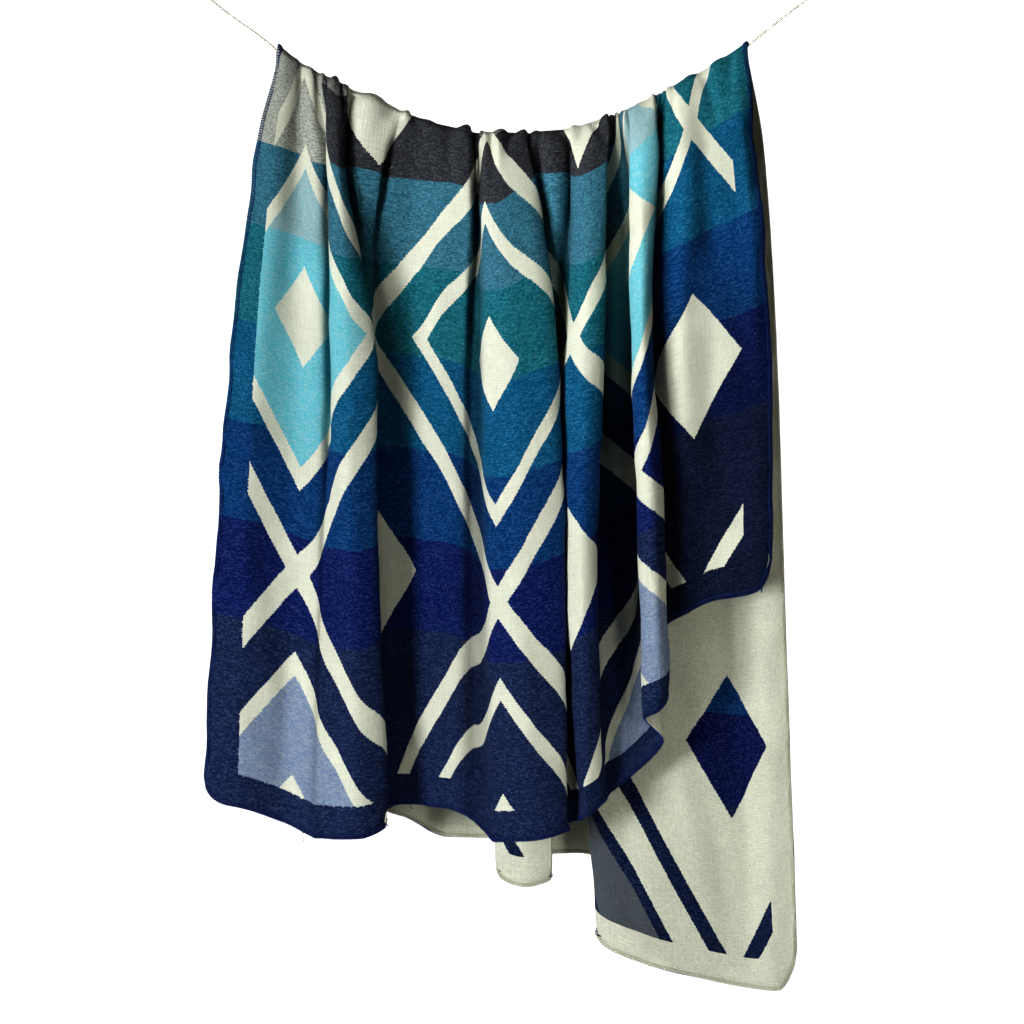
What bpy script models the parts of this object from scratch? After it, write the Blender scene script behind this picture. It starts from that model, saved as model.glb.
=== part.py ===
"""Throw blanket hanging over a thin sagging line, gathered along it.

Frame: metres, +Z up. The origin is where the left end of the line bears in its tied loop.
+X runs to the right end of the line, and the front wing of the blanket faces -Y.
Tables are in millimetres in this same frame.
"""
import math

import bpy
import numpy as np

MM = 0.001

# The cloth, laid flat
CLOTH_WIDTH = 1200 * MM
CLOTH_LENGTH = 1800 * MM
CLOTH_THICKNESS = 2.2 * MM
CORNER_RADIUS = 30 * MM

# The line, and how far the cloth stays off it
LINE_DIAMETER = 3.2 * MM
LINE_CLEARANCE = 2.6 * MM
LINE_POINTS = 80
LINE_BEVEL_STEPS = 2

# The tied end of the line
JOIN_GAP = 0.3 * MM
KNOT_LENGTH = 9 * MM
KNOT_DIAMETER = 8.4 * MM
KNOT_END_SHARE = 0.55
LOOP_LENGTH = 22 * MM
LOOP_WIDTH = 11 * MM
LOOP_THROAT_SHARE = 0.35
KNOT_RINGS, KNOT_SIDES = 7, 12
LOOP_RINGS, LOOP_SIDES = 20, 8

# Route of the line from its left knot to its right knot: (x, z)
LINE_ROUTE = (
    (20.5, -15), (34, -25), (54, -41), (75, -56), (92, -68), (106, -79), (123, -94),
    (143, -106), (162, -117), (200, -136), (237, -152), (272, -167), (315, -182),
    (361, -191), (403, -193), (445, -190), (482, -184), (517, -172), (548, -160),
    (583, -142), (621, -123), (650, -106), (673, -90), (690, -76), (705, -64),
    (721, -51), (738, -38), (755, -25), (768.5, -15),
)

# Heights at which a fold line is placed, as shares of the way from the line down to the hem
FRONT_LEVELS = (0.0, 0.10, 0.22, 0.38, 0.64, 1.0)
BACK_LEVELS = (0.10, 0.30, 0.62, 1.0)

# Front wing, a row for each fold line of the cloth from its left edge to its right edge:
# name, distance across the flat cloth, x at each level, y at each level, z of the hem
FRONT_FOLDS = (
    ("left edge", 0, (115, 96, 80, 62, 45, 27), (-6, -16, -24, -30, -34, -36), -993),
    ("left panel", 40, (127, 115, 104, 92, 81, 70), (-9, -26, -38, -46, -52, -54), -1000),
    ("left trough", 91, (145, 145, 143, 140, 131, 123), (-6, -15, -26, -34, -42, -46), -1018),
    ("left swell", 124, (160, 165, 168, 169, 165, 157), (-8, -22, -34, -42, -50, -54), -1034),
    ("first tuck, floor", 139, (166, 178, 181, 181, 171, 163), (-6, -12, -18, -27, -48, -54), -1037),
    ("first tuck", 151, (170, 184, 187, 186, 177, 172), (-6, -18, -27, -35, -50, -56), -1037),
    ("first pleat, left", 162, (174, 177, 179, 180, 184, 186), (-9, -25, -34, -41, -54, -60), -1038),
    ("first pleat", 200, (186, 189, 198, 206, 211, 218), (-13, -40, -58, -68, -72, -70), -1037),
    ("first pleat, right", 232, (197, 198, 214, 236, 238, 253), (-10, -30, -44, -54, -58, -54), -1020),
    ("second tuck", 260, (202, 188, 197, 213, 214, 236), (-7, -19, -27, -33, -35, -38), -1010),
    ("second tuck, floor", 275, (208, 198, 204, 213, 218, 240), (-6, -9, -11, -13, -15, -22), -1006),
    ("small pleat", 290, (227, 219, 217, 222, 226, 249), (-12, -22, -21, -12, -9, -16), -1003),
    ("small pleat, right", 305, (252, 241, 230, 229, 235, 257), (-10, -18, -13, -6, -5, -12), -999),
    ("wide trough, left", 318, (264, 238, 230, 238, 246, 266), (-6, -6, -4, -2, -3, -9), -998),
    ("wide trough", 350, (278, 269, 264, 266, 276, 283), (-6, -5, -2, 0, -3, -9), -998),
    ("wide trough, right", 378, (300, 298, 293, 293, 298, 302), (-7, -12, -10, -9, -12, -16), -1001),
    ("low swell, left", 403, (319, 322, 313, 315, 319, 322), (-9, -20, -18, -14, -16, -20), -1003),
    ("low swell, right", 431, (347, 348, 344, 339, 339, 341), (-11, -24, -20, -15, -18, -24), -1010),
    ("slot, left", 444, (353, 353, 351, 349, 350, 353), (-6, -5, -4, -6, -12, -23), -1018),
    ("slot, right", 454, (359, 360, 359, 358, 360, 365), (-6, -5, -6, -9, -17, -32), -1029),
    ("middle pleat, left", 488, (365, 363, 366, 369, 374, 381), (-11, -32, -43, -51, -55, -59), -1041),
    ("middle pleat", 539, (388, 392, 399, 411, 419, 425), (-14, -46, -62, -72, -76, -76), -1039),
    ("middle pleat, right", 592, (417, 433, 448, 457, 463, 465), (-11, -34, -48, -58, -62, -62), -1027),
    ("third tuck", 618, (424, 424, 432, 440, 447, 457), (-7, -21, -30, -36, -42, -50), -1025),
    ("third tuck, floor", 632, (431, 434, 437, 440, 446, 457), (-6, -13, -15, -19, -28, -43), -1023),
    ("short pleat", 649, (444, 452, 452, 447, 453, 466), (-12, -31, -14, -12, -22, -41), -1020),
    ("short pleat, right", 660, (458, 463, 458, 452, 458, 471), (-10, -25, -11, -12, -27, -43), -1018),
    ("crease", 674, (467, 469, 466, 458, 462, 478), (-7, -14, -19, -25, -39, -47), -1016),
    ("slanted pleat, left", 692, (474, 476, 473, 463, 464, 482), (-8, -31, -43, -51, -53, -53), -1015),
    ("slanted pleat", 723, (494, 492, 491, 486, 484, 491), (-12, -44, -62, -72, -74, -64), -1010),
    ("slanted pleat, right", 750, (514, 513, 512, 509, 501, 508), (-10, -36, -50, -60, -60, -56), -995),
    ("slanted pleat, back", 772, (517, 503, 500, 497, 490, 509), (-8, -21, -27, -32, -36, -48), -990),
    ("deep trough, left", 800, (521, 508, 504, 500, 493, 516), (-6, -4, 0, 3, -3, -32), -985),
    ("deep trough, right", 854, (528, 543, 547, 549, 552, 537), (-6, -4, 0, 3, -3, -34), -968),
    ("hem lip", 880, (534, 543, 546, 549, 554, 580), (-8, -18, -24, -26, -26, -43), -922),
    ("narrow pleat, left", 901, (538, 541, 541, 543, 549, 558), (-10, -34, -48, -56, -60, -60), -894),
    ("narrow pleat", 923, (555, 557, 555, 556, 566, 574), (-13, -48, -66, -76, -78, -74), -885),
    ("narrow pleat, right", 945, (570, 575, 569, 567, 580, 588), (-10, -38, -52, -60, -62, -62), -868),
    ("fourth tuck", 970, (573, 566, 558, 557, 568, 586), (-9, -28, -40, -46, -46, -42), -842),
    ("under pleat", 988, (576, 562, 556, 557, 565, 578), (-8, -20, -30, -36, -36, -32), -822),
    ("under pleat, right", 1003, (579, 563, 558, 559, 564, 574), (-7, -14, -20, -26, -28, -26), -806),
    ("fifth tuck", 1020, (581, 565, 561, 561, 565, 576), (-6, -9, -13, -18, -20, -20), -794),
    ("fifth tuck, floor", 1032, (584, 570, 566, 565, 569, 581), (-6, -8, -10, -12, -13, -14), -786),
    ("right panel, lip", 1054, (588, 587, 580, 572, 578, 590), (-10, -28, -34, -30, -22, -20), -778),
    ("right panel, left", 1088, (603, 607, 607, 605, 607, 610), (-13, -36, -44, -46, -44, -38), -767),
    ("right panel", 1130, (628, 636, 641, 644, 646, 646), (-11, -26, -31, -33, -31, -32), -751),
    ("right panel, crease", 1157, (647, 655, 664, 670, 673, 673), (-12, -26, -28, -31, -33, -36), -747),
    ("right panel, right", 1180, (667, 673, 681, 690, 695, 696), (-10, -24, -30, -35, -38, -42), -741),
    ("right edge", 1200, (684, 687, 696, 705, 713, 713), (-6, -14, -20, -27, -34, -38), -733),
)

# Back wing, laid out in the same way. At the line it starts where the front wing ends.
BACK_FOLDS = (
    ("left edge", 0, (104, 92, 75, 68), (12, 24, 34, 40), -974),
    ("first back pleat", 59, (128, 116, 104, 99), (40, 62, 74, 78), -993),
    ("first back trough", 155, (169, 169, 165, 160), (9, 12, 16, 20), -1025),
    ("second back pleat", 243, (206, 203, 203, 206), (44, 68, 80, 84), -1001),
    ("second back trough", 339, (244, 252, 259, 266), (9, 14, 20, 26), -1014),
    ("third back pleat", 427, (286, 293, 307, 319), (46, 70, 74, 70), -1041),
    ("behind the tongue, left", 519, (332, 365, 385, 399), (34, 50, 58, 58), -1044),
    ("tongue, left", 567, (351, 361, 370, 381), (12, 18, 18, 14), -1083),
    ("tongue", 612, (380, 392, 407, 415), (7, 8, 7, 4), -1099),
    ("tongue, right", 655, (409, 426, 440, 448), (12, 16, 16, 12), -1088),
    ("behind the tongue, right", 707, (421, 419, 421, 428), (36, 52, 60, 60), -1064),
    ("recess", 766, (453, 460, 469, 479), (46, 68, 74, 70), -1061),
    ("behind the tail", 843, (496, 513, 528, 542), (34, 46, 50, 50), -1090),
    ("tail, left", 899, (494, 486, 482, 503), (14, 24, 26, 14), -1158),
    ("tail", 967, (537, 540, 544, 557), (12, 18, 14, 4), -1191),
    ("tail, middle", 1051, (593, 603, 615, 629), (8, 14, 14, 12), -1210),
    ("tail, crease", 1121, (636, 656, 676, 687), (12, 24, 28, 22), -1222),
    ("tail, right", 1168, (673, 692, 709, 721), (10, 16, 14, 10), -1225),
    ("right edge", 1200, (703, 719, 731, 746), (9, 14, 14, 12), -1205),
)

# The arch of the cloth over the line: how much higher it stands where it is wider,
# and the distance from its top to where each wing starts to hang
ARCH_RISE = 0.35
ARCH_NARROW = 5 * MM
ARCH_RUN = 11 * MM

# The mesh of the solid: columns across the cloth, rows along it
COLUMN_SPACING = 14 * MM
COLUMNS_BETWEEN_FOLDS = (2, 4)
ROWS_NEAR_LINE = (5.5 * MM, 11 * MM, 20 * MM, 34 * MM)
ROWS_BELOW = (0.06, 0.13, 0.21, 0.31, 0.43, 0.57, 0.72, 0.87, 1.0)

CLOTH_COLOUR = (0.012, 0.10, 0.16, 1.0)
LINE_COLOUR = (0.74, 0.66, 0.50, 1.0)


def clear_scene():
    for thing in list(bpy.data.objects):
        bpy.data.objects.remove(thing, do_unlink=True)


def plain_material(name, colour, roughness):
    material = bpy.data.materials.new(name)
    material.use_nodes = True
    shader = material.node_tree.nodes["Principled BSDF"]
    shader.inputs["Base Color"].default_value = colour
    shader.inputs["Roughness"].default_value = roughness
    shader.inputs["Metallic"].default_value = 0.0
    return material


def smooth(knots, values, at):
    """Read a smooth curve through the values at the knots, column by column.

    It is a cubic between each two knots, whose slope at a knot is the weighted harmonic
    mean of the slopes on its two sides, or zero where they differ in sign. So the curve
    never swings past its own points, and it turns exactly at the folds' edges.
    """
    knots = np.broadcast_to(knots.reshape(len(knots), -1), values.shape)
    gap = np.diff(knots, axis=0)
    slope = np.diff(values, axis=0) / gap
    before, after = slope[:-1], slope[1:]
    weight_before = 2 * gap[1:] + gap[:-1]
    weight_after = gap[1:] + 2 * gap[:-1]
    alike = before * after > 0
    safe_before = np.where(alike, before, 1.0)
    safe_after = np.where(alike, after, 1.0)
    mean = (weight_before + weight_after) / (weight_before / safe_before + weight_after / safe_after)
    tangent = np.concatenate([slope[:1], np.where(alike, mean, 0.0), slope[-1:]])
    at = np.broadcast_to(at.reshape(len(at), -1), (len(at), values.shape[1]))
    index = (at[:, None, :] >= knots[None, 1:-1, :]).sum(axis=1)
    pick = lambda table, i: np.take_along_axis(table, i, axis=0)
    width = pick(gap, index)
    share = (at - pick(knots, index)) / width
    return (
        (1 + 2 * share) * (1 - share) ** 2 * pick(values, index)
        + share * (1 - share) ** 2 * width * pick(tangent, index)
        + share ** 2 * (3 - 2 * share) * pick(values, index + 1)
        + share ** 2 * (share - 1) * width * pick(tangent, index + 1)
    )


def line_curve(count):
    """Points along the smooth curve through the line's route, evenly spaced."""
    route = np.array(LINE_ROUTE, float) * MM
    along = np.concatenate([[0.0], np.cumsum(np.linalg.norm(np.diff(route, axis=0), axis=1))])
    even = np.linspace(0.0, along[-1], count)
    flat = smooth(along, route, even)
    return np.stack([flat[:, 0], np.zeros(count), flat[:, 1]], axis=1)


def line_height(x):
    """Height of the line's axis at each x."""
    route = np.array(LINE_ROUTE, float) * MM
    return smooth(route[:, 0], route[:, 1:], x)[:, 0]


def fold_table(folds):
    """The table's columns as arrays: across, x, y and hem height."""
    across = np.array([row[1] for row in folds]) * MM
    x = np.array([row[2] for row in folds]) * MM
    y = np.array([row[3] for row in folds]) * MM
    hem = np.array([[row[4]] for row in folds]) * MM
    return across, x, y, hem


def column_places():
    """Distances across the cloth of the mesh's columns, some between each two fold lines."""
    across = fold_table(FRONT_FOLDS)[0]
    fewest, most = COLUMNS_BETWEEN_FOLDS
    parts = []
    for start, end in zip(across[:-1], across[1:]):
        count = int(np.clip(round((end - start) / COLUMN_SPACING), fewest, most))
        parts.append(np.linspace(start, end, count, endpoint=False))
    return np.concatenate(parts + [across[-1:]])


def corner_cut(across):
    """How much of each end of a column the rounded corners take away."""
    inward = np.minimum(across, CLOTH_WIDTH - across)
    reach = np.clip(CORNER_RADIUS - inward, 0.0, CORNER_RADIUS)
    return CORNER_RADIUS - np.sqrt(CORNER_RADIUS ** 2 - reach ** 2)


def middle_surface():
    """The cloth's middle surface as a grid, rows from the front hem over the line to the back hem.

    Across the cloth, each level is a smooth curve through the fold lines. Along it, each
    column is a smooth curve down the front levels, over the arch and down the back levels.
    """
    across = column_places()
    fold, x, y, hem = fold_table(FRONT_FOLDS)
    front_x = smooth(fold, x, across).T
    front_y = smooth(fold, y, across).T
    front_hem = smooth(fold, hem, across)[:, 0]
    fold, x, y, hem = fold_table(BACK_FOLDS)
    back_x = smooth(fold, x, across).T
    back_y = smooth(fold, y, across).T
    back_hem = smooth(fold, hem, across)[:, 0]

    axis = line_height(front_x[0])
    front_drop = axis - front_hem
    back_drop = axis - back_hem
    front_length = CLOTH_LENGTH * front_drop / (front_drop + back_drop)
    back_length = CLOTH_LENGTH - front_length
    half_width = -front_y[0]
    slant = np.hypot(1.0, np.gradient(axis, front_x[0]))
    arch_height = (LINE_DIAMETER / 2 + LINE_CLEARANCE + CLOTH_THICKNESS / 2) * slant
    top = axis + arch_height + ARCH_RISE * (half_width - ARCH_NARROW)

    front_share = np.array(FRONT_LEVELS)[::-1, None]
    back_share = np.array((0.0,) + BACK_LEVELS)[:, None]
    knots = np.concatenate([
        -(ARCH_RUN + front_share * (front_length - ARCH_RUN)),
        np.zeros((1, len(across))),
        ARCH_RUN + back_share * (back_length - ARCH_RUN),
    ])
    x = np.concatenate([front_x[::-1], front_x[:1], front_x[:1], back_x])
    y = np.concatenate([front_y[::-1], np.zeros((1, len(across))), half_width[None], back_y])
    z = np.concatenate([
        axis - front_share * front_drop, top[None], axis - back_share * back_drop,
    ])

    cut = corner_cut(across)
    near = np.array(ROWS_NEAR_LINE)[:, None]
    below = np.array(ROWS_BELOW)[:, None]
    down_front = near[-1] + below * (front_length - cut - near[-1])
    down_back = near[-1] + below * (back_length - cut - near[-1])
    wide = np.ones((1, len(across)))
    at = np.concatenate([
        -down_front[::-1], -near[::-1] * wide, 0 * wide, near * wide, down_back,
    ])
    return np.stack([smooth(knots, part, at) for part in (x, y, z)], axis=2)


def thicken(middle, thickness):
    """A closed sheet: the grid moved half the thickness each way along its normal, and a rim.

    Both sides are cut into triangles along the same diagonals, so a twisted patch stays as thick.
    """
    rows, columns = middle.shape[:2]
    along = np.gradient(middle, axis=0)
    across = np.gradient(middle, axis=1)
    normal = np.cross(across, along)
    normal /= np.linalg.norm(normal, axis=2, keepdims=True)
    outer = middle + normal * thickness / 2
    inner = middle - normal * thickness / 2
    points = np.concatenate([outer.reshape(-1, 3), inner.reshape(-1, 3)])

    index = np.arange(rows * columns).reshape(rows, columns)
    first = np.stack([index[:-1, :-1], index[:-1, 1:], index[1:, 1:]], axis=2).reshape(-1, 3)
    second = np.stack([index[:-1, :-1], index[1:, 1:], index[1:, :-1]], axis=2).reshape(-1, 3)
    face = np.concatenate([first, second])
    rim = np.concatenate([
        index[0, :-1], index[:-1, -1], index[-1, :0:-1], index[:0:-1, 0],
    ])
    following = np.roll(rim, -1)
    inside = rows * columns
    side = np.stack([rim, rim + inside, following + inside, following], axis=1)
    return points, np.concatenate([face, face[:, ::-1] + inside]).tolist() + side.tolist()


def mesh_object(name, points, faces, material):
    mesh = bpy.data.meshes.new(name)
    mesh.from_pydata(points.tolist(), [], faces)
    mesh.materials.append(material)
    mesh.shade_smooth()
    thing = bpy.data.objects.new(name, mesh)
    bpy.context.collection.objects.link(thing)
    return thing


def make_blanket(material):
    points, faces = thicken(middle_surface(), CLOTH_THICKNESS)
    return mesh_object("blanket", points, faces, material)


def make_line(material):
    points = line_curve(LINE_POINTS)
    curve = bpy.data.curves.new("line", "CURVE")
    curve.dimensions = "3D"
    curve.bevel_depth = LINE_DIAMETER / 2
    curve.bevel_resolution = LINE_BEVEL_STEPS
    curve.use_fill_caps = True
    spline = curve.splines.new("POLY")
    spline.points.add(len(points) - 1)
    spline.points.foreach_set("co", np.column_stack([points, np.ones(len(points))]).ravel())
    curve.materials.append(material)
    thing = bpy.data.objects.new("line", curve)
    bpy.context.collection.objects.link(thing)
    return thing


def tube_faces(rings, sides, closed):
    """Quads of a tube of rings; its ends are joined where it is closed, or else capped."""
    index = np.arange(rings * sides).reshape(rings, sides)
    turned = np.roll(index, -1, axis=1)
    if closed:
        index_next, turned_next = np.roll(index, -1, axis=0), np.roll(turned, -1, axis=0)
        return np.stack([index, index_next, turned_next, turned], axis=2).reshape(-1, 4).tolist()
    quads = np.stack([index[:-1], index[1:], turned[1:], turned[:-1]], axis=2).reshape(-1, 4)
    return quads.tolist() + [index[0].tolist(), index[-1][::-1].tolist()]


def barrel_knot():
    """A turned barrel from the origin along +X, fullest at its middle."""
    share = np.linspace(0.0, 1.0, KNOT_RINGS)
    fullness = KNOT_END_SHARE + (1 - KNOT_END_SHARE) * np.sin(share * math.pi)
    radius = KNOT_DIAMETER / 2 * fullness
    around = np.linspace(0.0, 2 * math.pi, KNOT_SIDES, endpoint=False)
    x = np.repeat(share * KNOT_LENGTH, KNOT_SIDES)
    y = (radius[:, None] * np.cos(around)).ravel()
    z = (radius[:, None] * np.sin(around)).ravel()
    return np.stack([x, y, z], axis=1), tube_faces(KNOT_RINGS, KNOT_SIDES, False)


def tied_loop():
    """A closed tube whose centre line is a drop, narrow in the knot and round at its far end."""
    turn = np.linspace(0.0, 2 * math.pi, LOOP_RINGS, endpoint=False)[:, None]
    x = KNOT_LENGTH / 2 + LOOP_LENGTH * (1 - np.cos(turn)) / 2
    opening = LOOP_THROAT_SHARE + (1 - LOOP_THROAT_SHARE) * np.sin(turn / 2)
    z = LOOP_WIDTH / 2 * np.sin(turn) * opening
    ahead = np.concatenate([np.roll(x, -1) - np.roll(x, 1), np.roll(z, -1) - np.roll(z, 1)], axis=1)
    ahead /= np.linalg.norm(ahead, axis=1, keepdims=True)
    around = np.linspace(0.0, 2 * math.pi, LOOP_SIDES, endpoint=False)
    reach = LINE_DIAMETER / 2 * np.cos(around)
    tube_x = x + ahead[:, 1:] * reach
    tube_z = z - ahead[:, :1] * reach
    tube_y = LINE_DIAMETER / 2 * np.sin(around) * np.ones_like(x)
    points = np.stack([tube_x.ravel(), tube_y.ravel(), tube_z.ravel()], axis=1)
    return points, tube_faces(LOOP_RINGS, LOOP_SIDES, True)


def make_line_end(name, material, end, outward):
    """A tied end: a barrel knot face to face with the line, and the loop beyond it, in one solid."""
    points, faces = barrel_knot()
    knot = mesh_object(name, points, faces, material)
    points, faces = tied_loop()
    loop = mesh_object(name + "_loop", points, faces, material)
    loop.parent = knot
    loop.hide_render = True
    loop.display_type = "WIRE"

    knot.location = end + outward * JOIN_GAP
    knot.rotation_euler = (0.0, -math.atan2(outward[2], outward[0]), 0.0)
    join = knot.modifiers.new("join the loop", "BOOLEAN")
    join.operation = "UNION"
    join.solver = "EXACT"
    join.object = loop
    return knot


def main():
    clear_scene()
    cloth = plain_material("blanket cloth", CLOTH_COLOUR, 0.95)
    ivory = plain_material("ivory line", LINE_COLOUR, 0.85)
    make_blanket(cloth)
    make_line(ivory)
    points = line_curve(LINE_POINTS)
    left = points[0] - points[1]
    right = points[-1] - points[-2]
    make_line_end("line_end_left", ivory, points[0], left / np.linalg.norm(left))
    make_line_end("line_end_right", ivory, points[-1], right / np.linalg.norm(right))


main()
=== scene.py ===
"""Looks of a throw blanket hanging over a thin sagging line.

Frame: metres, +Z up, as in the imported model. The origin is where the left end of the line
bears in its tied loop, +X runs to its right end, and the front wing of the blanket faces -Y.
On the cloth itself, u runs across it from its left edge and v along it from its front hem,
both in metres. The tables of shapes are in millimetres.
"""
import math

import bpy
import mathutils
import numpy as np
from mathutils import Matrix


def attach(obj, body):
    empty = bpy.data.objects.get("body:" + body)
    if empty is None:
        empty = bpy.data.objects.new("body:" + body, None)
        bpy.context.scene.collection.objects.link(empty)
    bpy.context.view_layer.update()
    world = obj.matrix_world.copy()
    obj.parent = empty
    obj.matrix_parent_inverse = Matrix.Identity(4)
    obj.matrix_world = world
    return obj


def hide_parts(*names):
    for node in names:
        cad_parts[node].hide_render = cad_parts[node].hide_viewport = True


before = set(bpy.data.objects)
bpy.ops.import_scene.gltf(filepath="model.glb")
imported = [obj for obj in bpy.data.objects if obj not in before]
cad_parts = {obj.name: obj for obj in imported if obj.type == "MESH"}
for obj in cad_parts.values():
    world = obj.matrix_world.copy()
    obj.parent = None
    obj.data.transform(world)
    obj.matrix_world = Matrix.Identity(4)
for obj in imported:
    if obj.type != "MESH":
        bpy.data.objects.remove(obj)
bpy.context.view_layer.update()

MM = 0.001

# The picture: one pixel at the line's plane, and the pixel that lies over the origin
PIXEL = 1.21 * MM
PICTURE_PIXELS = 1024
ORIGIN_PIXEL = (182, -21)
CAMERA_DISTANCE = 8.0
SENSOR_MM = 36.0

# The cloth, laid flat
CLOTH_WIDTH = 1200 * MM
CLOTH_LENGTH = 1800 * MM
CLOTH_THICKNESS = 2.2 * MM
CORNER_RADIUS = 30 * MM

# The line, and how far the cloth stays off it; a crease sinks this much deeper for each
# millimetre down from the top of the line
LINE_DIAMETER = 3.2 * MM
LINE_CLEARANCE = 0.95 * MM
CREASE_SHALLOW = 0.45 * MM
CREASE_DEEPENING = 0.30
LINE_RING_SPACING = 1.1 * MM
LINE_SIDES = 16
LINE_STRANDS = 3
STRAND_LAY = 13 * MM
STRAND_GROOVE = 0.08

# The tied end of the line
JOIN_GAP = 0.3 * MM
KNOT_LENGTH = 9 * MM
KNOT_DIAMETER = 8.4 * MM
LOOP_LENGTH = 22 * MM
LOOP_WIDTH = 11 * MM
LOOP_THROAT_SHARE = 0.35
LOOP_RINGS = 56
KNOT_RINGS = 60
KNOT_TURNS = 2.4

# Route of the line from its left knot to its right knot: (x, z)
LINE_ROUTE = (
    (20.5, -15), (34, -25), (54, -41), (75, -56), (92, -68), (106, -79), (123, -94),
    (143, -106), (162, -117), (200, -136), (237, -152), (272, -167), (315, -182),
    (361, -191), (403, -193), (445, -190), (482, -184), (517, -172), (548, -160),
    (583, -142), (621, -123), (650, -106), (673, -90), (690, -76), (705, -64),
    (721, -51), (738, -38), (755, -25), (768.5, -15),
)

# Heights at which a fold line is placed, as shares of the way from the line down to the hem
FRONT_LEVELS = (0.0, 0.10, 0.22, 0.38, 0.64, 1.0)
BACK_LEVELS = (0.10, 0.30, 0.62, 1.0)

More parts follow.
